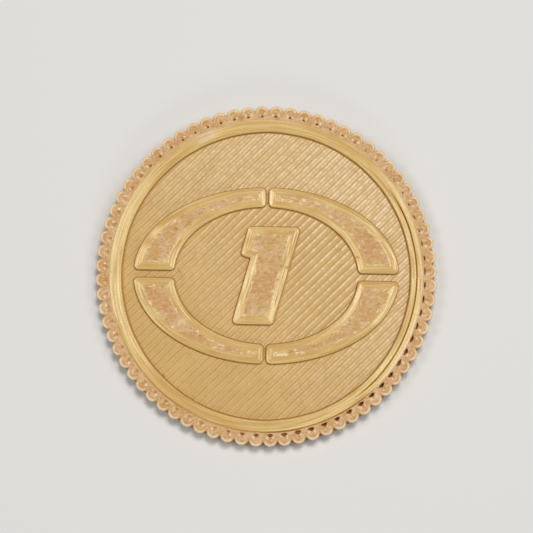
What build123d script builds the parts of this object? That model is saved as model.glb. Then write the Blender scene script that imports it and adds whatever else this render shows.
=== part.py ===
from build123d import *
import math
import os

os.makedirs("parts", exist_ok=True)

# A round, flat token that marks the dealer or the first player at a table.
# It is printed in layers, and each region that is printed as a body of its own is a node here.
# Millimetres. +Z is up, and the origin is the centre of the underside.

# Process
LAYER = 0.2  # height of one printed layer
LINE = 0.42  # width of one printed line

# Outline, seen from above
TIP_DIAMETER = 44.45  # over the tooth tips: 1 3/4 in, a usual size for a coin or card token
TEETH = 72
TOOTH_RADIUS = 0.95  # each tooth is a round nose, and neighbours meet in a sharp valley
BAND_RADIUS = 22.0  # plain round edge below the teeth
WALL_RADIUS = 20.45  # inside of the edge walls, and outside of the raised ring
RING_INNER_RADIUS = 18.8

# Heights, in whole layers from the table up
SKIN_LAYERS = 4  # the solid floor with its plain edge, and the solid field above the infill
INFILL_LAYERS = 8
RELIEF_LAYERS = 4  # what stands proud of the field

# Infill: two sets of crossing lines
INFILL_PITCH = 4.0

# Quartered oval around the numeral
OVAL_OUTER = (17.3, 11.5)  # half axes
OVAL_INNER = (12.0, 8.95)
SIDE_GAP = 1.0  # between an upper and a lower quarter
END_GAP = 0.4  # between a left and a right quarter
OVAL_CORNER = 0.6

# Numeral: a leaning slab with a short flag at its upper left
NUMERAL_HEIGHT = 12.8
STEM_WIDTH = 5.4  # measured level, along X
LEAN = 15.0  # degrees from upright, towards +X
FLAG_REACH = 1.42  # measured level, along X
FLAG_FOOT = 2.25  # height above the centre where the flag leaves the stem
NUMERAL_CORNER = 0.55

# Top edges of the relief are softened by the round of the last line
EDGE_ROUND = 0.15

SKIN_HEIGHT = SKIN_LAYERS * LAYER
INFILL_HEIGHT = INFILL_LAYERS * LAYER
RELIEF_HEIGHT = RELIEF_LAYERS * LAYER
FIELD_BASE = SKIN_HEIGHT + INFILL_HEIGHT
FIELD_TOP = FIELD_BASE + SKIN_HEIGHT
TOTAL_HEIGHT = FIELD_TOP + RELIEF_HEIGHT


# Solid floor that rests on the table
with BuildPart() as bottom_skin:
    with BuildSketch(Plane.XY):
        Circle(WALL_RADIUS)
    extrude(amount=SKIN_HEIGHT)
bottom_skin.part.label = "bottom_skin"
export_step(bottom_skin.part, "parts/bottom_skin.step")


# Plain round edge wall, around the floor
with BuildPart() as edge_band:
    with BuildSketch(Plane.XY):
        Circle(BAND_RADIUS)
        Circle(WALL_RADIUS, mode=Mode.SUBTRACT)
    extrude(amount=SKIN_HEIGHT)
edge_band.part.label = "edge_band"
export_step(edge_band.part, "parts/edge_band.step")


# Sparse infill between the floor and the field
lines_each_way = 2 * math.floor(WALL_RADIUS / INFILL_PITCH) + 1
with BuildPart() as infill_grid:
    with BuildSketch(Plane.XY.offset(SKIN_HEIGHT)):
        with GridLocations(INFILL_PITCH, 0, lines_each_way, 1):
            Rectangle(LINE, 2 * WALL_RADIUS)
        with GridLocations(0, INFILL_PITCH, 1, lines_each_way):
            Rectangle(2 * WALL_RADIUS, LINE)
        Circle(WALL_RADIUS, mode=Mode.INTERSECT)
    extrude(amount=INFILL_HEIGHT)
infill_grid.part.label = "infill_grid"
export_step(infill_grid.part, "parts/infill_grid.step")


# Solid field under the numeral, the oval and the ring
with BuildPart() as top_skin:
    with BuildSketch(Plane.XY.offset(FIELD_BASE)):
        Circle(WALL_RADIUS)
    extrude(amount=SKIN_HEIGHT)
top_skin.part.label = "top_skin"
export_step(top_skin.part, "parts/top_skin.step")


# Toothed wall that stands on the plain edge, to the full height
tooth_centre_radius = TIP_DIAMETER / 2 - TOOTH_RADIUS
with BuildPart() as toothed_rim:
    with BuildSketch(Plane.XY.offset(SKIN_HEIGHT)):
        Circle(tooth_centre_radius)
        with PolarLocations(tooth_centre_radius, TEETH, start_angle=180 / TEETH):
            Circle(TOOTH_RADIUS)
        Circle(WALL_RADIUS, mode=Mode.SUBTRACT)
    extrude(amount=TOTAL_HEIGHT - SKIN_HEIGHT)
toothed_rim.part.label = "toothed_rim"
export_step(toothed_rim.part, "parts/toothed_rim.step")


# Smooth raised ring just inside the teeth
with BuildPart() as rim_ring:
    with BuildSketch(Plane.XY.offset(FIELD_TOP)):
        Circle(WALL_RADIUS)
        Circle(RING_INNER_RADIUS, mode=Mode.SUBTRACT)
    extrude(amount=RELIEF_HEIGHT)
    ring_top = rim_ring.faces().sort_by(Axis.Z)[-1]
    fillet(ring_top.inner_wires()[0].edges(), EDGE_ROUND)
rim_ring.part.label = "rim_ring"
export_step(rim_ring.part, "parts/rim_ring.step")


# Four quarters of the oval frame, each a body of its own with gaps between
quarters = {
    "oval_upper_right": (1, 1),
    "oval_upper_left": (-1, 1),
    "oval_lower_left": (-1, -1),
    "oval_lower_right": (1, -1),
}
for quarter_name, (side_x, side_y) in quarters.items():
    with BuildPart() as oval_quarter:
        with BuildSketch(Plane.XY.offset(FIELD_TOP)) as quarter_outline:
            Ellipse(*OVAL_OUTER)
            Ellipse(*OVAL_INNER, mode=Mode.SUBTRACT)
            window_centre = (
                side_x * (END_GAP / 2 + OVAL_OUTER[0] / 2),
                side_y * (SIDE_GAP / 2 + OVAL_OUTER[1] / 2),
            )
            with Locations(window_centre):
                Rectangle(OVAL_OUTER[0], OVAL_OUTER[1], mode=Mode.INTERSECT)
            fillet(quarter_outline.vertices(), OVAL_CORNER)
        extrude(amount=RELIEF_HEIGHT)
        fillet(oval_quarter.faces().sort_by(Axis.Z)[-1].edges(), EDGE_ROUND)
    oval_quarter.part.label = quarter_name
    export_step(oval_quarter.part, f"parts/{quarter_name}.step")


# Numeral, outlined from its lower left corner anticlockwise
half_height = NUMERAL_HEIGHT / 2
lean_per_height = math.tan(math.radians(LEAN))
flag_depth = FLAG_REACH * math.cos(math.radians(LEAN))
flag_drop = flag_depth * math.sin(math.radians(LEAN))


def stem_side(side, height):
    """Point on the stem's left (-1) or right (+1) side at a height above the centre."""
    return (side * STEM_WIDTH / 2 + height * lean_per_height, height)


inner_corner = stem_side(-1, FLAG_FOOT)
flag_toe = (
    inner_corner[0] - flag_depth * math.cos(math.radians(LEAN)),
    inner_corner[1] + flag_drop,
)
flag_top = (stem_side(-1, half_height)[0] - FLAG_REACH, half_height)
numeral_corners = [
    stem_side(-1, -half_height),
    stem_side(1, -half_height),
    stem_side(1, half_height),
    flag_top,
    flag_toe,
    inner_corner,
]
with BuildPart() as numeral_one:
    with BuildSketch(Plane.XY.offset(FIELD_TOP)) as numeral_outline:
        with BuildLine():
            Polyline(*numeral_corners, close=True)
        make_face()
        all_corners = numeral_outline.vertices()
        sharp_corner = all_corners.sort_by_distance(inner_corner + (FIELD_TOP,))[0]
        fillet([corner for corner in all_corners if corner != sharp_corner], NUMERAL_CORNER)
    extrude(amount=RELIEF_HEIGHT)
    fillet(numeral_one.faces().sort_by(Axis.Z)[-1].edges(), EDGE_ROUND)
numeral_one.part.label = "numeral_one"
export_step(numeral_one.part, "parts/numeral_one.step")
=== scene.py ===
import math

import bpy
import numpy as np
from mathutils import Matrix, Vector
from mathutils.geometry import delaunay_2d_cdt


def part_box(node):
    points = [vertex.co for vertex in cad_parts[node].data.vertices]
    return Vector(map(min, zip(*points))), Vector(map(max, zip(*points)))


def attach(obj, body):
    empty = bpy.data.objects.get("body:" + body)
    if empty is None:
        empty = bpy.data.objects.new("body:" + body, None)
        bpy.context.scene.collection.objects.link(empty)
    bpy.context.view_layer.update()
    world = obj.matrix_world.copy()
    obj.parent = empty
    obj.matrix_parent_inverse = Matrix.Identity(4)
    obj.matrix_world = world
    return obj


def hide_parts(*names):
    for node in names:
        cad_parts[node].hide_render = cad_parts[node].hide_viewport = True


# A printed dealer button, seen from above on a pale floor. Shapes are worked out in millimetres in
# the CAD frame (origin at the centre of the underside, +Z up) and become metres in make_mesh.

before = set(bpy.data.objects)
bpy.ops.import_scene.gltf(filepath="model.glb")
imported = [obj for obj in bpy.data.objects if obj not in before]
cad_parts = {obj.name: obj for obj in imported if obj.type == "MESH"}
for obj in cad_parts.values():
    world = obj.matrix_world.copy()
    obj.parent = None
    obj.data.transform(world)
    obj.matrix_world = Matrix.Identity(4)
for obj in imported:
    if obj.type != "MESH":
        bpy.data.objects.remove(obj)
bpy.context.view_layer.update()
MM = 0.001


def cad_mm(node):
    """Lowest and highest corner of a CAD node, in millimetres."""
    low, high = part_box(node)
    return Vector(low) / MM, Vector(high) / MM


# ---------------------------------------------------------------- sizes from the frame
TEETH = 72
TOOTH_STEP = 2 * math.pi / TEETH
FLOOR_TOP = cad_mm("bottom_skin")[1].z
FIELD_BASE = cad_mm("top_skin")[0].z
FIELD_TOP = cad_mm("top_skin")[1].z
TOP = cad_mm("rim_ring")[1].z
WALL_RADIUS = cad_mm("rim_ring")[1].x
BAND_RADIUS = cad_mm("edge_band")[1].x
TIP_RADIUS = cad_mm("toothed_rim")[1].x / math.cos(TOOTH_STEP / 2)
SIDE_GAP_HALF = cad_mm("oval_upper_right")[0].y
END_GAP_HALF = cad_mm("oval_upper_right")[0].x
NUMERAL_HALF_HEIGHT = cad_mm("numeral_one")[1].y

# ---------------------------------------------------------------- sizes a box doesn't give
LINE = 0.42  # width of one printed line
LAYER = 0.2  # height of one printed layer
TOOTH_RADIUS = 0.95  # each tooth is a round nose
RING_INNER_RADIUS = 18.8
OVAL_OUTER = (17.3, 11.5)  # half axes
OVAL_INNER = (12.0, 8.95)
OVAL_CORNER = 0.6
STEM_WIDTH = 5.4  # of the numeral, measured level
LEAN = math.radians(15)  # of the numeral, from upright
FLAG_REACH = 1.42  # of the numeral's flag, measured level
FLAG_FOOT = 2.25  # height above the centre where the flag leaves the stem
NUMERAL_CORNER = 0.55
EDGE_ROUND = 0.14  # round of the top edge of the ring and the teeth
RELIEF_ROUND = 0.09  # and of the oval and the numeral
TUCK = 0.1  # how far raised bodies reach below the top of the field
FOOT_ROWS = 3  # rows of points that make the foot strip of a raised body
WALL_PAINTED_SHADE = 0.1  # painted shade: a little brown on the sides of raised bodies
CLEARANCE = 0.02  # keeps discs clear of the wall round them
LAYER_BULGE = 0.035  # how far each layer's side swells between its seams
FOOT_WIDTH = 0.13  # thin strip at the foot of a raised body, painted in shade so that it reads as its outline
FOOT_TOP = FIELD_TOP + 0.012
FIELD_RADIUS = 18.95  # the printed lines run just under the raised ring


# ---------------------------------------------------------------- noise
def noise(x, y, cell, seed):
    """Smooth value noise between -1 and 1 that changes over cell millimetres."""
    size = 256
    table = np.random.default_rng(seed).uniform(-1, 1, (size, size))
    gx, gy = np.asarray(x) / cell, np.asarray(y) / cell
    ix, iy = np.floor(gx).astype(int), np.floor(gy).astype(int)
    fx, fy = gx - ix, gy - iy
    fx, fy = fx * fx * (3 - 2 * fx), fy * fy * (3 - 2 * fy)
    near = table[ix % size, iy % size] * (1 - fy) + table[ix % size, (iy + 1) % size] * fy
    far = table[(ix + 1) % size, iy % size] * (1 - fy) + table[(ix + 1) % size, (iy + 1) % size] * fy
    return near * (1 - fx) + far * fx


def smoothstep(low, high, value):
    t = np.clip((np.asarray(value) - low) / (high - low), 0, 1)
    return t * t * (3 - 2 * t)


# Small flaws of this print: x, y, half length, half width, direction in degrees, and how far they drop
# (below 0: rise)
FLAWS = [
    (9.4, 3.5, 0.36, 0.18, 20, -0.16),
    (-11.35, 0.5, 0.62, 0.07, 125, -0.10),
    (2.82, 1.1, 0.45, 0.07, 10, 0.16),
    (1.95, 1.3, 0.12, 0.12, 0, 0.20),
    (-0.95, 2.2, 0.34, 0.07, 60, 0.14),
    (-1.55, 3.3, 0.5, 0.12, 20, -0.05),
    (-11.9, 5.95, 0.16, 0.14, 0, 0.22),
    (11.75, 2.6, 0.30, 0.07, 0, 0.16),
    (9.3, 5.6, 0.22, 0.10, 130, 0.20),
    (-13.3, -13.45, 0.35, 0.12, 60, 0.25),
]


def flaw_drop(x, y):
    """Drop of the small flaws."""
    drop = np.zeros(np.shape(x))
    for cx, cy, half_length, half_width, direction, depth in FLAWS:
        turn = math.radians(direction)
        along = (x - cx) * math.cos(turn) + (y - cy) * math.sin(turn)
        across = -(x - cx) * math.sin(turn) + (y - cy) * math.cos(turn)
        reach = (along / half_length) ** 2 + (across / half_width) ** 2
        drop += depth * (1 - smoothstep(0.3, 1.4, reach))
    return drop


# Where the fill is more orange: x, y and radius
WARM_PATCHES = [(13.6, 4.2, 2.2), (-13.7, -3.5, 2.0), (0.6, -0.6, 1.6), (-9.0, -8.0, 1.2), (-3.0, 10.4, 1.0)]
# Where the fill is pale
PALE_PATCHES = [
    (-1.9, 3.5, 1.5), (0.6, -5.3, 1.2), (-2.9, -5.7, 0.9), (14.0, 1.2, 1.0), (-13.2, 1.6, 1.2),
    (-1.6, -10.2, 1.2), (2.2, -10.3, 1.0), (-2.0, 9.9, 1.0), (-11.0, -6.4, 1.2), (8.0, 8.6, 1.0),
]


def patches(places, x, y):
    """1 in the middle of a patch, 0 away from all of them."""
    return sum(1 - smoothstep(0.2, 1, np.hypot(x - cx, y - cy) / radius) for cx, cy, radius in places)


def bead(distance):
    """How far a row of printed lines drops from its crest, from 0 on a line to 1 in the seam between
    lines. distance is measured across the lines, with a seam at 0."""
    across = (np.asarray(distance) / LINE) % 1 * 2 - 1
    return np.abs(across) ** 2


# ---------------------------------------------------------------- meshes
def make_mesh(name, points, faces, **looks):
    """Object from points in millimetres. looks are the values per point that the material reads: gloss with a
    painted highlight, the rough fill, warmth, and painted shade in seams, at feet and in holes together with
    darker streaks of tone."""
    mesh = bpy.data.meshes.new(name)
    mesh.from_pydata((np.asarray(points, dtype=float) * MM).tolist(), [], faces)
    mesh.update()
    for label in ("shine", "fill", "warm", "deep"):
        values = np.zeros(len(points), dtype=np.float32)
        given = np.ravel(looks.get(label, 0.0))
        values[: len(given)] = given
        mesh.attributes.new(label, "FLOAT", "POINT").data.foreach_set("value", values)
    mesh.shade_smooth()
    mesh.set_sharp_from_angle(angle=math.radians(62))
    piece = bpy.data.objects.new(name, mesh)
    bpy.context.scene.collection.objects.link(piece)
    return piece


def grid_faces(rows, columns, wrap_rows=False, wrap_columns=False):
    """Quads between neighbouring points of a grid that is stored row by row."""
    r = np.arange(rows if wrap_rows else rows - 1)
    c = np.arange(columns if wrap_columns else columns - 1)
    r, c = np.meshgrid(r, c, indexing="ij")
    up, right = (r + 1) % rows, (c + 1) % columns
    quads = np.stack([r * columns + c, r * columns + right, up * columns + right, up * columns + c], axis=-1)
    return quads.reshape(-1, 4).tolist()


def border(rows, columns):
    """Indices round the edge of a grid, anticlockwise when rows go up and columns go right."""
    bottom = list(range(columns))
    right = [r * columns + columns - 1 for r in range(1, rows)]
    top = [(rows - 1) * columns + c for c in range(columns - 2, -1, -1)]
    left = [r * columns for r in range(rows - 2, 0, -1)]
    return bottom + right + top + left


def close_at(points, faces, loop, rings):
    """Closes an open sheet. From its border, an anticlockwise loop of points, walls run through the
    given rings, each a scale and a level, and a flat face fills the last one."""
    points = np.asarray(points)
    count = len(loop)
    below = rings[-1][1] < points[loop][:, 2].mean()
    last = list(loop)
    for scale, level in rings:
        ring = points[loop] * (scale, scale, 0) + (0, 0, level)
        new = [len(points) + i for i in range(count)]
        for i in range(count):
            quad = [last[i], new[i], new[(i + 1) % count], last[(i + 1) % count]]
            faces.append(quad if below else quad[::-1])
        points = np.vstack([points, ring])
        last = new
    faces.append(last[::-1] if below else last)
    return points, faces


def turned_piece(name, angles, profile_radius, profile_height, **looks):
    """Closed ring: row k of the two arrays is one corner of the section, and each column an angle."""
    x = profile_radius * np.cos(angles)
    y = profile_radius * np.sin(angles)
    points = np.stack([x, y, profile_height], axis=-1).reshape(-1, 3)
    rows, columns = profile_radius.shape
    return make_mesh(name, points, grid_faces(rows, columns, True, True), **looks)


def layer_rows(low, high, steps=4):
    """Heights and outward swell of a stack of printed layers, from low to high."""
    layers = round((high - low) / LAYER)
    t = np.arange(layers * steps + 1) / steps
    swell = np.sqrt(np.clip(np.sin(np.pi * (t % 1)), 0, 1)) - 1
    return low + t * LAYER, swell * LAYER_BULGE


def painted_foot_shade(facing_x, facing_y):
    """Painted shade at the foot of a raised body, by the direction its side faces: most where it faces up and
    to the left. Sides that face down already lie in shadow."""
    shadow = np.maximum(-facing_y, 0)
    return np.maximum(1.25 - 0.35 * facing_x + 0.6 * facing_y - 0.5 * shadow, 0)


def round_the_token(columns):
    """Angles of evenly spaced columns round the token, as one row."""
    return np.linspace(0, 2 * math.pi, columns, endpoint=False)[None, :]


# ---------------------------------------------------------------- the field
RASTER = math.radians(45)  # direction that the field's lines run in
BACK_SHARES = np.array([0.0, 0.24, 0.76])  # places across a line that get a row of points, on the way back
FORTH_SHARES = np.array([0.0, 0.11, 0.23, 0.77, 0.89])  # and on the way forth, where the top is flat


def off_raster(along, across):
    """Turns a place along and across the printed lines into X and Y."""
    x = along * math.cos(RASTER) - across * math.sin(RASTER)
    y = along * math.sin(RASTER) + across * math.cos(RASTER)
    return x, y


def raster_disc(name, radius, level, rings, relief, spacing, sign=1):
    """Disc whose face is printed in straight lines, with points at a spacing along them.
    relief(along, line, share) gives the drop from the crest, the sideways wander, the gloss with its painted
    highlight and the painted shade, for a place along a line and a share of the way across it. sign is -1 for
    a face that looks down."""
    lines = int(radius / LINE)
    across = np.concatenate([k + (FORTH_SHARES if k % 2 else BACK_SHARES) for k in range(-lines, lines)])
    line, share = np.floor(across + 1e-9), across - np.floor(across + 1e-9)
    columns = int(2 * radius / spacing)
    # columns are even along the longest line, and close up towards both ends of the disc
    t = np.linspace(-1, 1, columns)[None, :]
    along = t * np.sqrt(radius**2 - (across * LINE) ** 2)[:, None]
    line, share = line[:, None] + 0 * along, share[:, None] + 0 * along
    drop, wander, shine, deep = relief(along, line, share)
    deep = deep.ravel()
    across = (line + share) * LINE + wander
    x, y = off_raster(along, across)
    points = np.stack([x, y, level - sign * drop], axis=-1).reshape(-1, 3)
    faces = grid_faces(*along.shape)
    if sign < 0:
        faces = [face[::-1] for face in faces]
    else:
        flaw = flaw_drop(points[:, 0], points[:, 1])
        points[:, 2] -= flaw
        deep += 3 * np.abs(flaw)
    points, faces = close_at(points, faces, border(*along.shape), rings)
    return make_mesh(name, points, faces, shine=shine, deep=deep)


def field_relief(along, line, share):
    """Lines laid there and back. Both have flat tops, which lean opposite ways and so catch the light in
    different parts of the field. Inside the oval the lines laid back are the duller ones."""
    forth = line % 2
    place = (line + share) * LINE
    x, y = off_raster(along, place)
    within = 1 - smoothstep(0.95, 1.05, (x / OVAL_INNER[0]) ** 2 + (y / OVAL_INNER[1]) ** 2)
    dull = within * smoothstep(-5, 2, along)
    wander = 0.02 * noise(along, place, 2.2, 11) + 0.015 * noise(along, line, 0.8, 16)
    across = 2 * share - 1
    drop = 0.036 * np.abs(across) ** (6 + 6 * forth)
    drop += np.where(forth == 1, 0.009, -0.016 - 0.014 * dull) * across
    drop += 0.005 * noise(along, line * 7.3, 0.34, 12)
    drop += 0.010 * noise(along, line * 3.1, 3.0, 13)
    patchy = noise(along, line * 5.7, 0.30, 14) + 0.4 * noise(along, line * 2.3, 4.0, 15)
    dashes = smoothstep(-0.5, 0.5, patchy)
    painted_highlight_falloff = 0.16 + 0.66 * smoothstep(-20, 16, along)  # painted highlight, stronger towards the far ends of the lines, towards the upper right
    # painted highlight on the flat tops, broken into dashes, strongest on the lines laid forth
    shine = (1 - np.abs(across) ** 12) * (0.55 + 0.45 * dashes) * painted_highlight_falloff
    shine *= np.where(forth == 1, 1, 0.88 - 0.55 * dull)
    # painted shade in the seams between the lines, stronger where the painted highlight is
    deep = (0.15 + 0.25 * painted_highlight_falloff) * smoothstep(0.02, 0.05, drop)
    return drop, wander, shine, deep


def make_field():
    step = FIELD_TOP - 0.12  # the field runs on at this height under the raised ring
    widen = (WALL_RADIUS - CLEARANCE) / FIELD_RADIUS
    rings = [(1, step), (widen, step), (widen, FIELD_BASE)]
    piece = raster_disc("field", FIELD_RADIUS, FIELD_TOP, rings, field_relief, spacing=0.15)
    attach(piece, "root")
    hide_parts("top_skin")
    return piece


# ---------------------------------------------------------------- the raised ring
# Where the ring's loops came apart: middle and half width in degrees, radius, depth, width
RING_SEAMS = [
    (-8, 41, 19.62, 0.34, 0.05),
    (-70, 22, 20.32, 0.28, 0.05),
    (-128, 36, 20.32, 0.12, 0.06),
    (120, 26, 20.30, 0.05, 0.05),
]


def sector(angle, centre, half_width, fade):
    """1 inside a sector round the token, 0 outside it, with soft ends. Angles are in degrees."""
    away = np.abs((np.degrees(angle) - centre + 180) % 360 - 180)
    return 1 - smoothstep(half_width - fade, half_width + fade, away)


def ring_drop(radius, angle):
    """Drop of a ring of concentric loops that came apart along RING_SEAMS."""
    x, y = radius * np.cos(angle), radius * np.sin(angle)
    drop = 0.018 * bead(radius - RING_INNER_RADIUS)
    for centre, half_width, where, depth, width in RING_SEAMS:
        line = where + 0.02 * noise(angle * 9, 0 * angle, 1, 21)
        open_ = sector(angle, centre, half_width, 6)
        drop += depth * open_ * np.exp(-(((radius - line) / (width * (0.4 + 0.6 * open_))) ** 2))
    drop += 0.004 * noise(x, y, 0.5, 22) + 0.010 * noise(x, y, 2.5, 23)
    return drop


def make_ring():
    angles = round_the_token(720)
    heights, swell = layer_rows(FIELD_TOP - TUCK, TOP - TUCK)
    wall_radius = RING_INNER_RADIUS - swell
    keep = (heights <= TOP - EDGE_ROUND) & (heights > FOOT_TOP)
    foot_radius = RING_INNER_RADIUS - np.array([FOOT_WIDTH, FOOT_WIDTH, 0])
    heights = np.concatenate([[FIELD_TOP - TUCK, FOOT_TOP, FOOT_TOP], heights[keep]])
    wall_radius = np.concatenate([foot_radius, wall_radius[keep]])
    turn = np.radians(np.linspace(15, 90, 5))
    round_radius = RING_INNER_RADIUS + EDGE_ROUND * (1 - np.cos(turn))
    round_height = TOP - EDGE_ROUND * (1 - np.sin(turn))
    spacing = 0.045
    top_radius = np.arange(RING_INNER_RADIUS + EDGE_ROUND + spacing, WALL_RADIUS - 0.03, spacing)
    wander = 0.02 * noise(angles * 12, 0 * angles, 1, 24)
    inner = np.concatenate([wall_radius, round_radius])[:, None] + wander
    top = np.repeat(top_radius[:, None], angles.shape[1], axis=1)
    outer = np.full((2, angles.shape[1]), WALL_RADIUS - 0.01)
    radius = np.vstack([inner, top, outer])
    drop = ring_drop(top, angles + 0 * top)
    height = np.vstack([
        np.repeat(np.concatenate([heights, round_height])[:, None], angles.shape[1], axis=1),
        TOP - drop,
        np.full((1, angles.shape[1]), TOP - 0.02),
        np.full((1, angles.shape[1]), FIELD_TOP - TUCK),
    ])
    streaks = noise(angles * 8 + 0 * top, top / 0.13, 1, 25)
    streaks += 0.6 * noise(angles * 3 + 0 * top, top / 0.4, 1, 26)
    upright = smoothstep(0.6, 1, np.abs(np.cos(angles)))
    # painted shade on the inner side of the ring, most at its foot
    wall_deep = WALL_PAINTED_SHADE + 0 * inner
    wall_deep[:FOOT_ROWS] = painted_foot_shade(-np.cos(angles), -np.sin(angles))
    # painted shade where the loops came apart, and darker streaks of tone
    deep = smoothstep(0.06, 0.2, drop) + 0.5 * smoothstep(0.1, 1, -streaks)
    deep = np.vstack([wall_deep, deep, 0 * outer])
    # painted highlight: more shine where the loops run upright and catch the side lamps, along a thin line
    # near the inner edge and in a sector round 308 degrees; none in the open seams
    shine = 0.12 + 0.5 * upright + 0.4 * streaks - 0.6 * smoothstep(0.03, 0.07, drop)
    inner_edge_highlight = 0.35 * np.exp(-(((top - RING_INNER_RADIUS - 0.16) / 0.08) ** 2))
    shine += inner_edge_highlight + 0.3 * sector(angles, 308, 25, 15)
    ragged = top + 0.2 * noise(angles * 60 + 0 * top, top * 3, 1, 27)
    rough_patch = 0.9 * sector(angles, 114, 4, 2) * smoothstep(19.0, 19.6, ragged)
    fill = 0.6 * smoothstep(20.1, 20.5, ragged) + rough_patch
    fill = np.vstack([0 * inner, np.minimum(fill, 1), 0 * outer])
    shine = np.vstack([0 * inner, np.clip(shine, 0, 1), 0 * outer])
    piece = turned_piece("raised_ring", angles + 0 * radius, radius[::-1], height[::-1],
                         deep=deep[::-1], shine=shine[::-1], fill=fill[::-1])
    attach(piece, "root")
    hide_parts("rim_ring")
    return piece


# ---------------------------------------------------------------- the toothed wall
TOOTH_CENTRE = TIP_RADIUS - TOOTH_RADIUS


def tooth_offset(angle):
    """Angle from the middle of the nearest tooth."""
    return (angle % TOOTH_STEP) - TOOTH_STEP / 2


def tooth_outline(angle):
    """Radius of the toothed outline."""
    off = tooth_offset(angle)
    return TOOTH_CENTRE * np.cos(off) + np.sqrt(TOOTH_RADIUS**2 - (TOOTH_CENTRE * np.sin(off)) ** 2)


VALLEY_RADIUS = float(tooth_outline(np.array(0.0)))
VALLEY_FILL = 0.14  # how far the melted plastic fills the valleys between the teeth


def filled_outline(angle):
    """Toothed outline with the plastic that fills its valleys."""
    level, soft = VALLEY_RADIUS + VALLEY_FILL, 0.04
    return soft * np.logaddexp(tooth_outline(angle) / soft, level / soft)


def depth_in_tooth(radius, angle):
    """Distance from a point in the rim to the toothed outline."""
    off = tooth_offset(angle)
    x, y = radius * np.cos(off), radius * np.sin(off)
    from_centre = np.hypot(x - TOOTH_CENTRE, y)
    valley_x = VALLEY_RADIUS * math.cos(TOOTH_STEP / 2)
    valley_y = VALLEY_RADIUS * math.sin(TOOTH_STEP / 2)
    to_valley = np.hypot(x - valley_x, np.abs(y) - valley_y)
    facing = np.arctan2(np.abs(y), x - TOOTH_CENTRE)
    on_arc = facing <= math.atan2(valley_y, valley_x - TOOTH_CENTRE)
    return np.where(on_arc, np.minimum(TOOTH_RADIUS - from_centre, to_valley), to_valley)


# Round the token, the gap inside each tooth: angle in degrees, then its depth, middle radius, and half
# its size across and along the rim
GAPS = np.array([
    (0, 0.9, 20.70, 0.07, 0.36),
    (12, 0.5, 20.72, 0.07, 0.22),
    (40, 0.12, 20.84, 0.09, 0.15),
    (60, 0.25, 20.92, 0.09, 0.10),
    (90, 0.6, 20.90, 0.11, 0.10),
    (125, 0.5, 20.90, 0.11, 0.11),
    (145, 0.15, 20.88, 0.12, 0.13),
    (190, 0.15, 20.86, 0.13, 0.16),
    (255, 0.2, 20.82, 0.13, 0.20),
    (280, 1.1, 20.80, 0.20, 0.28),
    (325, 1.5, 20.72, 0.18, 0.34),
    (342, 1.2, 20.68, 0.12, 0.36),
    (360, 0.9, 20.70, 0.07, 0.36),
])


def rim_looks(radius, angle):
    """Tops of the teeth: how far they drop, and their looks: the rough fill, painted shade in the seam,
    valleys, slits and gaps, and gloss with a painted highlight on the cap and on pale blobs. A line runs
    along the outline, a second one inside it, and each tooth is left with a gap."""
    x, y = radius * np.cos(angle), radius * np.sin(angle)
    depth = depth_in_tooth(radius, angle)
    drop = 0.05 * np.minimum(np.abs(depth - 0.2) / 0.24, 1) ** 2 * (depth < 0.44)
    drop += 0.05 * np.minimum(np.abs(depth - 0.66) / 0.22, 1) ** 2 * (depth >= 0.44)
    rough = smoothstep(0.3, 0.5, depth) * (0.6 + 0.4 * smoothstep(20.5, 20.8, radius))
    drop += rough * (0.06 * noise(x, y, 0.18, 31) + 0.03 * noise(x, y, 0.45, 32))
    # painted shade along the seam between the two lines
    seam_shade = np.exp(-(((depth - 0.44) / 0.075) ** 2)) * smoothstep(-0.6, 0.4, noise(x, y, 0.4, 36))
    number = np.floor(angle / TOOTH_STEP)
    tooth = np.degrees((number + 0.5) * TOOTH_STEP) % 360
    chance = noise(number * 3.7, 0 * number, 1, 34)
    gap_depth, middle, half_across, half_along = (
        np.interp(tooth, GAPS[:, 0], GAPS[:, k]) for k in range(1, 5)
    )
    sideways = radius * tooth_offset(angle)
    along = sideways + 0.05 * chance
    narrow = np.clip(1 - 0.6 * (radius - middle) / half_across, 0.3, 1.4)
    reach = ((radius - middle - 0.03 * chance) / half_across) ** 2 + (along / (half_along * narrow)) ** 2
    gap = 1 - smoothstep(0.7, 1.3, reach * (1 + 0.2 * noise(x, y, 0.3, 35)))
    slit = np.exp(-((along / 0.09) ** 2))
    slit = slit * smoothstep(20.7, 20.8, radius) * (1 - smoothstep(21.2, 21.35, radius))
    slit *= 0.8 + 0.2 * noise(x, y, 0.3, 37)
    # painted highlight on pale blobs along the second line, on each side of the middle of a tooth
    blobs = np.exp(-(((np.abs(sideways) - 0.38) / 0.15) ** 2) - ((radius - 21.12) / 0.2) ** 2)
    blobs *= smoothstep(-0.3, 0.5, noise(x, y, 0.25, 38))
    # painted highlight along the cap line at the outline
    cap_highlight = (1 - smoothstep(0.05, 0.42, depth)) * (1 - smoothstep(0.5, 0.8, np.abs(sideways)))
    shine = 0.95 * cap_highlight + blobs
    shine = np.clip(shine + 0.12 * noise(x, y, 0.2, 39), 0, 1) * (1 - slit) * (1 - gap)
    drop += gap * gap_depth * np.clip(1 + 0.3 * chance, 0, 1) + 0.08 * slit
    # painted shade in the valleys between teeth, the seam, the slit and the gap
    valley_shade = smoothstep(0.62, 0.9, np.abs(sideways)) * smoothstep(20.9, 21.4, radius)
    deep = np.maximum(np.maximum(0.9 * seam_shade, slit), 0.8 * valley_shade)
    deep += 1.6 * gap * smoothstep(0.05, 0.4, gap * gap_depth)
    return drop, rough, deep, shine


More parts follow.
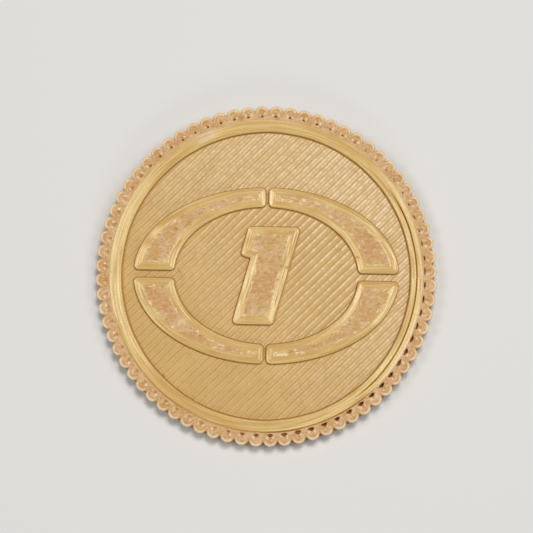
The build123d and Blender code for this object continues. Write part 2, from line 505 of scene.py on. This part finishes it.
def make_toothed_rim():
    per_tooth, top_rows = 20, 30
    angles = (np.arange(TEETH * per_tooth) * TOOTH_STEP / per_tooth)[None, :]
    outline = filled_outline(angles)
    share = np.linspace(0, 1, top_rows)[:, None]
    top_outer = outline - EDGE_ROUND
    top = WALL_RADIUS + (top_outer - WALL_RADIUS) * share
    drop, fill, deep, shine = rim_looks(top, angles + 0 * top)
    turn = np.radians([30, 60, 90])[:, None]
    edge = top_outer + EDGE_ROUND * np.sin(turn)
    edge_height = TOP - EDGE_ROUND * (1 - np.cos(turn)) - 0.01 + 0 * edge
    heights, swell = layer_rows(FLOOR_TOP, TOP, 2)
    keep = heights < TOP - EDGE_ROUND
    heights, swell = heights[keep][::-1, None], swell[keep][::-1, None]
    wander = 0.012 * noise(angles * 40 + 0 * heights, heights * 5 + 0 * angles, 1, 33)
    wall = outline + swell + wander
    inner = np.full((1, angles.shape[1]), WALL_RADIUS)
    radius = np.vstack([inner, top, edge, wall])
    height = np.vstack([
        0 * inner + FLOOR_TOP,
        TOP - drop,
        edge_height,
        heights + 0 * wall,
    ])
    fill = np.vstack([0 * inner, 0.35 + 0.65 * fill, 0.35 + 0 * edge, 0 * wall])
    deep = np.vstack([0 * inner, deep, 0 * edge, 0 * wall])
    # painted highlight on the rounded edge of each tooth; the sides get a little
    cap_highlight = 0.95 * (1 - smoothstep(0.5, 0.8, np.abs(outline * tooth_offset(angles))))
    shine = np.vstack([0 * inner, shine, cap_highlight + 0 * edge, 0.2 + 0 * wall])
    piece = turned_piece("toothed_wall", angles + 0 * radius, radius[::-1], height[::-1],
                         fill=fill[::-1], deep=deep[::-1], shine=shine[::-1])
    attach(piece, "root")
    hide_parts("toothed_rim")
    return piece


# ---------------------------------------------------------------- the plain edge and the underside
def make_edge_band():
    angles = round_the_token(480)
    heights, swell = layer_rows(0, FLOOR_TOP)
    wander = 0.015 * noise(angles * 20, heights[:, None] * 5 + 0 * angles, 1, 41)
    wall = BAND_RADIUS + swell[:, None] + wander
    spacing, under_spacing, margin = 0.1, 0.07, 0.05
    top_radius = np.arange(BAND_RADIUS - spacing, WALL_RADIUS, -spacing)[:, None] + 0 * angles
    under_radius = np.arange(WALL_RADIUS + margin, BAND_RADIUS - margin, under_spacing)
    under_radius = under_radius[:, None] + 0 * angles
    under_height = 0.03 * bead(BAND_RADIUS - under_radius)
    inner = np.full((2, angles.shape[1]), WALL_RADIUS)
    inner_height = np.array([[FLOOR_TOP], [0.0]]) + 0 * inner
    radius = np.vstack([wall, top_radius, inner, under_radius])
    height = np.vstack([
        heights[:, None] + 0 * wall,
        FLOOR_TOP - 0.02 * bead(BAND_RADIUS - top_radius),
        inner_height,
        under_height,
    ])
    piece = turned_piece("plain_edge", angles + 0 * radius, radius, height)
    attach(piece, "root")
    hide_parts("edge_band")
    return piece


def underside_relief(along, line, share):
    """First layer, pressed flat against the plate with shallow seams."""
    wander = 0.01 * noise(along, line, 3, 51)
    drop = 0.03 * np.clip(bead(share * LINE) * 1.6 - 0.6, 0, 1) + 0.004 * noise(along, line, 1.2, 52) + 0.004
    # painted shade in the seams
    return drop, wander, np.zeros_like(along), 0.3 * smoothstep(0.01, 0.03, drop)


def make_underside():
    radius = WALL_RADIUS - CLEARANCE
    rings = [(1, FLOOR_TOP)]
    piece = raster_disc("underside", radius, 0.0, rings, underside_relief, spacing=0.8, sign=-1)
    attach(piece, "root")
    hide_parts("bottom_skin")
    return piece


# ---------------------------------------------------------------- outlines that can be inset
class Straight:
    """Side of an outline from one corner to the next, with the inside on its left."""

    def __init__(self, start, end):
        self.start, self.end = np.array(start, float), np.array(end, float)
        along = self.end - self.start
        self.normal = np.array([-along[1], along[0]]) / np.hypot(*along)

    def at(self, t, inset):
        t = np.asarray(t, float)[..., None]
        return self.start + (self.end - self.start) * t + self.normal * inset


class EllipseArc:
    """Part of an ellipse between two eccentric angles, with the inside on its left."""

    def __init__(self, half_axes, start, end):
        self.a, self.b = half_axes
        self.first, self.last = start, end
        self.turn = 1 if end > start else -1

    def at(self, t, inset):
        angle = self.first + (self.last - self.first) * np.asarray(t, float)
        x, y = self.a * np.cos(angle), self.b * np.sin(angle)
        nx, ny = -self.b * np.cos(angle) * self.turn, -self.a * np.sin(angle) * self.turn
        size = np.hypot(nx, ny)
        return np.stack([x + inset * nx / size, y + inset * ny / size], axis=-1)


class Mirrored:
    """A side mirrored across the axes; the loop is turned round afterwards if that reverses it."""

    def __init__(self, side, side_x, side_y):
        self.side, self.flip = side, np.array([side_x, side_y])

    def at(self, t, inset):
        return self.side.at(t, inset) * self.flip


def meeting(side, following, inset):
    """Where two neighbouring sides meet when both are inset: the place along each."""
    t = np.array([1.0, 0.0])  # Newton's method, from the corner itself
    step = 1e-5
    for _ in range(30):
        gap = side.at(t[0], inset) - following.at(t[1], inset)
        slope_a = (side.at(t[0] + step, inset) - side.at(t[0], inset)) / step
        slope_b = (following.at(t[1] + step, inset) - following.at(t[1], inset)) / step
        t = t - np.linalg.solve(np.stack([slope_a, -slope_b], axis=1), gap)
    return t


CORNER_POINTS = 7


def inset_loop(sides, corner_radii, inset, counts):
    """Closed outline at an inset, with the same number of points at every inset. corner_radii[i] rounds
    the corner after side i; past its radius a corner is a plain mitre."""
    count = len(sides)
    reach = [max(inset, radius) if radius else inset for radius in corner_radii]
    meets = [meeting(sides[i], sides[(i + 1) % count], reach[i]) for i in range(count)]
    points = []
    for i, side in enumerate(sides):
        first, last = meets[i - 1][1], meets[i][0]
        points.append(side.at(np.linspace(first, last, counts[i]), inset))
        following = sides[(i + 1) % count]
        centre = side.at(last, reach[i])
        start, end = side.at(last, inset) - centre, following.at(meets[i][1], inset) - centre
        blend = np.linspace(0, 1, CORNER_POINTS + 2)[1:-1, None]
        chord = start * (1 - blend) + end * blend
        length = np.maximum(np.hypot(chord[:, 0], chord[:, 1]), 1e-9)[:, None]
        points.append(centre + chord / length * np.hypot(*start))
    return np.vstack(points)


def oval_quarter_sides(side_x, side_y):
    """Sides of one quarter of the oval: the outer arc, an end, the inner arc and the other end."""
    def eccentric(half_axes, x=None, y=None):
        return math.acos(x / half_axes[0]) if y is None else math.asin(y / half_axes[1])

    low_outer = eccentric(OVAL_OUTER, y=SIDE_GAP_HALF)
    high_outer = eccentric(OVAL_OUTER, x=END_GAP_HALF)
    low_inner = eccentric(OVAL_INNER, y=SIDE_GAP_HALF)
    high_inner = eccentric(OVAL_INNER, x=END_GAP_HALF)
    outer = EllipseArc(OVAL_OUTER, low_outer, high_outer)
    inner = EllipseArc(OVAL_INNER, high_inner, low_inner)
    sides = [outer, Straight(outer.at(1, 0), inner.at(0, 0)), inner, Straight(inner.at(1, 0), outer.at(0, 0))]
    return [Mirrored(side, side_x, side_y) for side in sides]


def numeral_sides():
    """Sides of the slanted numeral, from its lower left corner."""
    lean = math.tan(LEAN)
    depth = FLAG_REACH * math.cos(LEAN)

    def stem(side, height):
        return (side * STEM_WIDTH / 2 + height * lean, height)

    inner = stem(-1, FLAG_FOOT)
    toe = (inner[0] - depth * math.cos(LEAN), inner[1] + depth * math.sin(LEAN))
    top = (stem(-1, NUMERAL_HALF_HEIGHT)[0] - FLAG_REACH, NUMERAL_HALF_HEIGHT)
    low_left, low_right = stem(-1, -NUMERAL_HALF_HEIGHT), stem(1, -NUMERAL_HALF_HEIGHT)
    corners = [low_left, low_right, stem(1, NUMERAL_HALF_HEIGHT), top, toe, inner]
    return [Straight(corners[i], corners[(i + 1) % len(corners)]) for i in range(len(corners))]


# Each raised body: its sides, the radius of the corner after each side, and the points along each side
QUARTERS = {"upper_left": (-1, 1), "upper_right": (1, 1), "lower_left": (-1, -1), "lower_right": (1, -1)}
RELIEF = {
    f"oval_{where}": (oval_quarter_sides(*signs), [OVAL_CORNER] * 4, (150, 12, 120, 30))
    for where, signs in QUARTERS.items()
}
NUMERAL_CORNERS = [NUMERAL_CORNER] * 4 + [0.0, NUMERAL_CORNER]
RELIEF["numeral_one"] = (numeral_sides(), NUMERAL_CORNERS, (40, 100, 50, 30, 9, 70))


def relief_outline(node, inset):
    """Closed outline of a raised body at an inset, anticlockwise."""
    sides, radii, counts = RELIEF[node]
    loop = inset_loop(sides, radii, inset, counts)
    x, y = loop[:, 0], loop[:, 1]
    area = np.sum(x * np.roll(y, -1) - y * np.roll(x, -1))
    return loop if area > 0 else loop[::-1]


# ---------------------------------------------------------------- the relief pieces
def fill_drop(x, y, seed):
    """Drop of the rough middle, where short lines were crammed in."""
    drop = 0.018 + 0.02 * noise(x, y, 0.25, seed) + 0.02 * noise(x, y, 0.6, seed + 1)
    return drop + 0.05 * smoothstep(0.3, 0.9, noise(x, y, 0.4, seed + 2))


OUTLINE_LOOPS = 3  # printed along the outline before the rough middle begins
LOOP_SPACING = 0.07  # between rows of points on those loops
FILL_BORDER = (0.92, 1.18)  # inset over which the outline gives way to the rough middle


def relief_section():
    """Section of a raised body from its foot to the rough middle: the inset of each loop of points, and
    the levels of those on its side and rounded edge."""
    heights, swell = layer_rows(FIELD_TOP - TUCK, TOP - TUCK)
    keep = (heights < TOP - EDGE_ROUND) & (heights > FOOT_TOP)
    turn = np.radians(np.linspace(15, 90, 5))
    insets = [-FOOT_WIDTH, -FOOT_WIDTH, 0, *-swell[keep], *(RELIEF_ROUND * (1 - np.cos(turn)))]
    levels = [FIELD_TOP - TUCK, FOOT_TOP, FOOT_TOP, *heights[keep]]
    levels += list(TOP - RELIEF_ROUND * (1 - np.sin(turn)))
    insets += list(np.arange(RELIEF_ROUND + LOOP_SPACING, OUTLINE_LOOPS * LINE + 0.01, LOOP_SPACING))
    return insets, levels


def relief_looks(insets, loops, walls, points, seed):
    """Looks of a raised body. Its points are the loops, of which the first walls lie on its side, and
    then those of the rough middle."""
    row, column = np.meshgrid(insets, np.arange(len(loops[0])), indexing="ij")
    x, y = points[:, :2].T
    middle = len(points) - row.size
    ragged = row + 0.25 * noise(x[: row.size], y[: row.size], 0.28, seed + 4).reshape(row.shape)
    fill = smoothstep(*FILL_BORDER, ragged)
    fill[-1] = 1
    fill = np.concatenate([fill.ravel(), np.ones(middle)])
    streaks = noise(column / 14, row / 0.12, 1, seed + 2)
    streaks += 0.5 * noise(column / 50, row / 0.15, 1, seed + 3)
    onward = np.stack([np.roll(loop, -1, 0) - np.roll(loop, 1, 0) for loop in loops])[:, :, :2]
    onward /= np.maximum(np.hypot(onward[:, :, 0], onward[:, :, 1]), 1e-9)[:, :, None]
    # painted highlight: loops that run upright catch the side lamps and get more shine
    upright = smoothstep(0.4, 0.95, np.abs(onward[:, :, 1]))
    on_top = smoothstep(0.05, 0.1, row) * (1 - smoothstep(*FILL_BORDER, ragged))
    shine = 0.06 + (0.6 - 0.25 * row) * upright + (0.35 + 0.35 * upright) * streaks
    dashes = np.exp(-(((ragged - FILL_BORDER[1] + 0.01) / 0.09) ** 2))
    dashes *= smoothstep(0.0, 0.6, noise(column / 3, row, 1, seed + 6))
    shine = np.clip(shine, 0, 1) * on_top + 0.85 * dashes
    shine = np.concatenate([shine.ravel(), np.zeros(middle)])
    pale = patches(PALE_PATCHES, x, y)
    shine += 0.3 * fill * pale * smoothstep(-0.3, 0.5, noise(x, y, 0.25, seed + 7))
    warm = patches(WARM_PATCHES, x, y) - pale
    deep = 0.6 * smoothstep(0.15, 0.9, -streaks) * on_top
    # painted shade at the foot and on the sides of the raised body
    foot = onward[:FOOT_ROWS]
    deep[:FOOT_ROWS] = painted_foot_shade(foot[:, :, 1], -foot[:, :, 0])
    deep[FOOT_ROWS:walls] = WALL_PAINTED_SHADE
    deep = np.concatenate([deep.ravel(), np.zeros(middle)])
    above_foot = points[:, 2] > FIELD_TOP + 0.2
    deep[above_foot] += 2.5 * np.abs(flaw_drop(x[above_foot], y[above_foot]))
    return {"fill": fill, "shine": np.clip(shine, 0, 1), "warm": warm, "deep": deep}


def relief_piece(name, node, seed):
    """Raised body with layered sides, a rounded edge, loops along its outline and a rough middle."""
    insets, levels = relief_section()
    loops = []
    for k, inset in enumerate(insets):
        loop = relief_outline(node, inset)
        x, y = loop[:, 0], loop[:, 1]
        if k < len(levels):
            z = np.full(len(x), levels[k])
        else:
            z = TOP - 0.012 * bead(inset) - flaw_drop(x, y)
            z -= 0.005 * noise(x, y, 0.4, seed) + 0.012 * noise(x, y, 2, seed + 1)
        loops.append(np.stack([x, y, z], axis=-1))
    count = len(loops[0])
    faces = grid_faces(len(loops), count, False, True)
    last = (len(loops) - 1) * count
    points, faces = fill_inside(np.vstack(loops), faces, list(range(last, last + count)), seed + 5)
    faces.append(list(range(count))[::-1])
    piece = make_mesh(name, points, faces, **relief_looks(insets, loops, len(levels), points, seed))
    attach(piece, "root")
    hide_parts(node)
    return piece


def fill_inside(points, faces, loop, seed):
    """Triangulates the middle inside a loop on a fine grid of points."""
    spacing = 0.1
    edge = points[loop][:, :2]
    low, high = edge.min(axis=0), edge.max(axis=0)
    gx, gy = np.meshgrid(np.arange(low[0], high[0], spacing), np.arange(low[1], high[1], spacing))
    gx, gy = gx.ravel(), gy.ravel()
    shake = np.stack([noise(gx, gy, 0.11, seed + 8), noise(gx, gy, 0.11, seed + 9)], axis=-1)
    grid = np.stack([gx, gy], axis=-1) + spacing * 0.25 * shake
    grid = grid[inside(grid, edge) & (distance_to(grid, edge) > spacing * 0.6)]
    flat = np.vstack([edge, grid])
    verts, _, triangles, origin, _, _ = delaunay_2d_cdt(
        [Vector(p) for p in flat], [], [list(range(len(edge)))], 1, 1e-6
    )
    place = np.array([[v.x, v.y] for v in verts])
    index = []
    added = []
    for k, sources in enumerate(origin):
        if sources and sources[0] < len(edge):
            index.append(loop[sources[0]])
        else:
            index.append(len(points) + len(added))
            added.append(k)
    near = smoothstep(0, 0.3, distance_to(place[added], edge))
    x, y = place[added].T
    z = TOP - 0.012 * (1 - near) - fill_drop(x, y, seed) * near - flaw_drop(x, y)
    middle = np.column_stack([x, y, z])
    for triangle in triangles:
        a, b, c = (place[i] for i in triangle)
        turn = (b[0] - a[0]) * (c[1] - a[1]) - (b[1] - a[1]) * (c[0] - a[0])
        face = [index[i] for i in triangle]
        faces.append(face if turn > 0 else face[::-1])
    return np.vstack([points, middle]), faces


def inside(places, edge):
    """True for places inside a closed polygon."""
    result = np.zeros(len(places), bool)
    for (x1, y1), (x2, y2) in zip(edge, np.roll(edge, -1, axis=0)):
        crosses = (places[:, 1] < y1) != (places[:, 1] < y2)
        if y1 != y2:
            result ^= crosses & (places[:, 0] < x1 + (places[:, 1] - y1) * (x2 - x1) / (y2 - y1))
    return result


def distance_to(places, edge):
    """Distance from each place to the nearest corner of a finely divided polygon."""
    best = np.full(len(places), np.inf)
    for corner in edge:
        best = np.minimum(best, np.hypot(places[:, 0] - corner[0], places[:, 1] - corner[1]))
    return best


def make_relief():
    return [relief_piece(f"raised_{node}", node, 60 + 20 * k) for k, node in enumerate(RELIEF)]


# ---------------------------------------------------------------- materials
MIX_A, MIX_B, MIX_RESULT = 6, 7, 2  # the mix node's sockets for colours, whose names aren't unique


class Tree:
    """Short hand for building a material's nodes."""

    def __init__(self, name):
        self.material = bpy.data.materials.new(name)
        self.material.use_nodes = True
        self.nodes, self.links = self.material.node_tree.nodes, self.material.node_tree.links
        self.shader = self.nodes["Principled BSDF"]
        self.place = self.nodes.new("ShaderNodeTexCoord").outputs["Object"]

    def put(self, value, socket):
        """Sets a socket to a number or colour, or links another node's output to it."""
        if isinstance(value, bpy.types.NodeSocket):
            self.links.new(value, socket)
        else:
            socket.default_value = value

    def stretched(self, turn, stretch):
        """Place with the pattern drawn out along a direction."""
        node = self.nodes.new("ShaderNodeMapping")
        node.vector_type = "TEXTURE"
        node.inputs["Rotation"].default_value = (0, 0, math.radians(turn))
        node.inputs["Scale"].default_value = (stretch, 1, 1)
        self.links.new(self.place, node.inputs["Vector"])
        return node.outputs["Vector"]

    def noise(self, scale, detail=2, distortion=0.0, place=None):
        node = self.nodes.new("ShaderNodeTexNoise")
        node.inputs["Scale"].default_value = scale
        node.inputs["Detail"].default_value = detail
        node.inputs["Distortion"].default_value = distortion
        self.links.new(place or self.place, node.inputs["Vector"])
        return node.outputs["Fac"]

    def attribute(self, name):
        node = self.nodes.new("ShaderNodeAttribute")
        node.attribute_name = name
        return node.outputs["Fac"]

    def math(self, operation, a, b=0.0, c=0.0):
        node = self.nodes.new("ShaderNodeMath")
        node.operation = operation
        for socket, value in zip(node.inputs, (a, b, c)):
            self.put(value, socket)
        return node.outputs["Value"]

    def band(self, value, low, high, to_low=0.0, to_high=1.0):
        node = self.nodes.new("ShaderNodeMapRange")
        labels = ("Value", "From Min", "From Max", "To Min", "To Max")
        for label, item in zip(labels, (value, low, high, to_low, to_high)):
            self.put(item, node.inputs[label])
        return node.outputs["Result"]

    def mix(self, share, a, b):
        node = self.nodes.new("ShaderNodeMix")
        node.data_type = "RGBA"
        self.put(share, node.inputs["Factor"])
        self.put(a, node.inputs[MIX_A])
        self.put(b, node.inputs[MIX_B])
        return node.outputs[MIX_RESULT]


ROUGHNESS = 0.60
STREAK_TURN, STREAK_STRETCH = 8, 1.8  # direction in degrees, and how much longer than wide
PINK = (0.61, 0.375, 0.19, 1)
ORANGE = (0.54, 0.27, 0.07, 1)
WHITE = (0.76, 0.54, 0.37, 1)
BROWN = (0.42, 0.19, 0.05, 1)
# the next colours: pale blobs, partly painted highlight; brown painted shade, also used for darker streaks of
# tone; dark brown painted shade in holes and at the darkest feet
PALE_AND_HIGHLIGHT = (0.86, 0.66, 0.48, 1)
PAINTED_SHADE_AND_STREAK = (0.50, 0.22, 0.04, 1)
PAINTED_DARK_SHADE = (0.31, 0.09, 0.006, 1)


def silk_plastic(name, gold, dark, highlight_colour):
    """Gold silk filament: mottled, glossier where a line was dragged and paler there with a painted
    highlight, pink, orange, white and brown where the fill is rough, and brown deep in a seam, which is
    painted shade. Noise scales count per metre."""
    tree = Tree(name)
    broad, fine = tree.noise(300), tree.noise(4200, 3)
    colour = tree.mix(tree.band(broad, 0.3, 0.7), dark, gold)
    fill, shine, warm, deep = (tree.attribute(label) for label in ("fill", "shine", "warm", "deep"))
    pink = tree.math("MULTIPLY", fill, tree.band(tree.noise(700, 5), 0.36, 0.60))
    colour = tree.mix(tree.math("MULTIPLY", pink, 0.7), colour, PINK)
    patchy = tree.math("MULTIPLY_ADD", warm, 0.20, tree.noise(500, 6))
    orange = tree.math("MULTIPLY", fill, tree.band(patchy, 0.46, 0.6))
    colour = tree.mix(tree.math("MULTIPLY", orange, 0.85), colour, ORANGE)
    streaks = tree.noise(3600, 4, 0.8, tree.stretched(STREAK_TURN, STREAK_STRETCH))
    white = tree.math("MULTIPLY", fill, tree.band(streaks, 0.53, 0.68))
    colour = tree.mix(tree.math("MULTIPLY", white, 0.48), colour, WHITE)
    brown = tree.math("MULTIPLY", fill, tree.band(streaks, 0.46, 0.34))
    colour = tree.mix(tree.math("MULTIPLY", brown, 0.75), colour, BROWN)
    # painted highlight: the colour turns towards the pale highlight colour where the surface is glossy
    colour = tree.mix(tree.math("MULTIPLY", shine, 0.35), colour, highlight_colour)
    # pale blobs where the fill is glossy, partly painted highlight
    blobs = tree.math("MULTIPLY", tree.math("MULTIPLY", fill, shine), 0.6)
    colour = tree.mix(blobs, colour, PALE_AND_HIGHLIGHT)
    # painted shade: brown in seams, at the feet and on the sides of raised bodies, also used for darker
    # streaks of tone
    seam_shade = tree.math("MULTIPLY", tree.math("MINIMUM", deep, 1.0), 0.85)
    colour = tree.mix(seam_shade, colour, PAINTED_SHADE_AND_STREAK)
    # painted shade: dark brown in holes and at the darkest feet
    colour = tree.mix(tree.band(deep, 1.0, 1.7), colour, PAINTED_DARK_SHADE)
    tree.put(colour, tree.shader.inputs["Base Color"])
    mottled = tree.band(fine, 0.3, 0.7, ROUGHNESS - 0.05, ROUGHNESS + 0.05)
    tree.put(tree.math("MULTIPLY_ADD", shine, -0.26, mottled), tree.shader.inputs["Roughness"])
    tree.shader.inputs["Specular IOR Level"].default_value = 0.6
    bump = tree.nodes.new("ShaderNodeBump")
    tree.put(tree.math("MULTIPLY_ADD", fill, 0.6, 0.4), bump.inputs["Strength"])
    bump.inputs["Distance"].default_value = 0.06 * MM
    tree.put(fine, bump.inputs["Height"])
    tree.put(bump.outputs["Normal"], tree.shader.inputs["Normal"])
    return tree.material


def dress(piece, material):
    piece.data.materials.clear()
    piece.data.materials.append(material)


# ---------------------------------------------------------------- camera, light and floor
PICTURE = 533  # pixels each way
PIXELS_PER_MM = 7.684
CAMERA_DISTANCE = 300.0
ROLL = math.radians(1.1)  # the token lies turned a little clockwise in the picture
AIM = (0.06, 1.18)  # from the token's centre to the middle of the picture, right and up
TILT = math.radians(4.5)  # from straight above; goes with the assumed thickness of the token
TILT_TOWARDS = math.radians(-77.6)  # in the picture, from right: nearly straight down
LIGHT_DISTANCE = 500.0
LIGHTS = {  # azimuth and elevation in degrees, size and power
    "key_light": (66, 79, 80, 1.22),
    "left_light": (175, 71, 130, 0.42),
    "right_light": (5, 71, 130, 0.42),
    "front_light": (-80, 40, 150, 0.22),
}
WORLD_STRENGTH = 0.17
FLOOR_HALF_WIDTH = 400.0
FLOOR_COLOUR = (0.72, 0.71, 0.69, 1)


def in_picture(right, up):
    """Turns a direction in the picture into the token's own X and Y."""
    x = right * math.cos(ROLL) - up * math.sin(ROLL)
    y = right * math.sin(ROLL) + up * math.cos(ROLL)
    return Vector((x, y, 0))


def make_camera():
    data = bpy.data.cameras.new("camera")
    camera = bpy.data.objects.new("camera", data)
    bpy.context.scene.collection.objects.link(camera)
    aim = in_picture(*AIM) + Vector((0, 0, TOP))
    lean = in_picture(math.cos(TILT_TOWARDS), math.sin(TILT_TOWARDS)) * math.sin(TILT)
    back = (lean + Vector((0, 0, math.cos(TILT)))).normalized()
    up = in_picture(0, 1)
    right = up.cross(back).normalized()
    up = back.cross(right)
    turn = Matrix((right, up, back)).transposed().to_4x4()
    camera.matrix_world = Matrix.Translation((aim + back * CAMERA_DISTANCE) * MM) @ turn
    data.sensor_width = 36.0
    data.lens = data.sensor_width * CAMERA_DISTANCE * PIXELS_PER_MM / PICTURE
    data.clip_start = 0.01
    data.clip_end = 10.0
    bpy.context.scene.camera = camera


def make_softbox(name, azimuth, elevation, size, power):
    """Square light that faces the token. Azimuth is from +X towards +Y."""
    data = bpy.data.lights.new(name, "AREA")
    data.shape = "SQUARE"
    data.size = size * MM
    data.energy = power
    light = bpy.data.objects.new(name, data)
    bpy.context.scene.collection.objects.link(light)
    a, e = math.radians(azimuth), math.radians(elevation)
    place = Vector((math.cos(a) * math.cos(e), math.sin(a) * math.cos(e), math.sin(e))) * LIGHT_DISTANCE
    light.location = place * MM
    light.rotation_euler = place.to_track_quat("Z", "Y").to_euler()


def make_light():
    for name, settings in LIGHTS.items():
        make_softbox(name, *settings)
    world = bpy.data.worlds.new("studio")
    bpy.context.scene.world = world
    world.use_nodes = True
    world.node_tree.nodes["Background"].inputs["Color"].default_value = (1, 1, 1, 1)
    world.node_tree.nodes["Background"].inputs["Strength"].default_value = WORLD_STRENGTH
    bpy.context.scene.view_settings.view_transform = "Standard"


def make_floor():
    mesh = bpy.data.meshes.new("floor")
    half = FLOOR_HALF_WIDTH * MM
    corners = [(-half, -half, 0), (half, -half, 0), (half, half, 0), (-half, half, 0)]
    mesh.from_pydata(corners, [], [(0, 1, 2, 3)])
    floor = bpy.data.objects.new("floor", mesh)
    bpy.context.scene.collection.objects.link(floor)
    material = bpy.data.materials.new("pale_floor")
    material.use_nodes = True
    shader = material.node_tree.nodes["Principled BSDF"]
    shader.inputs["Base Color"].default_value = FLOOR_COLOUR
    shader.inputs["Roughness"].default_value = 0.8
    mesh.materials.append(material)


# ---------------------------------------------------------------- the whole scene
make_camera()
make_light()
make_floor()
field = make_field()
ring = make_ring()
rim = make_toothed_rim()
band = make_edge_band()
underside = make_underside()
relief = make_relief()

# each material's third colour is its painted highlight colour
lines_material = silk_plastic(
    "silk_gold_lines", (0.565, 0.343, 0.082, 1), (0.505, 0.295, 0.062, 1), (0.84, 0.71, 0.52, 1)
)
relief_material = silk_plastic(
    "silk_gold_relief", (0.575, 0.355, 0.085, 1), (0.535, 0.32, 0.07, 1), (0.92, 0.71, 0.25, 1)
)
edge_material = silk_plastic(
    "silk_gold_edge", (0.64, 0.41, 0.17, 1), (0.58, 0.35, 0.13, 1), (1.0, 0.84, 0.55, 1)
)
for piece in [field, underside]:
    dress(piece, lines_material)
for piece in [ring, *relief]:
    dress(piece, relief_material)
for piece in [rim, band]:
    dress(piece, edge_material)
dress(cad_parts["infill_grid"], lines_material)
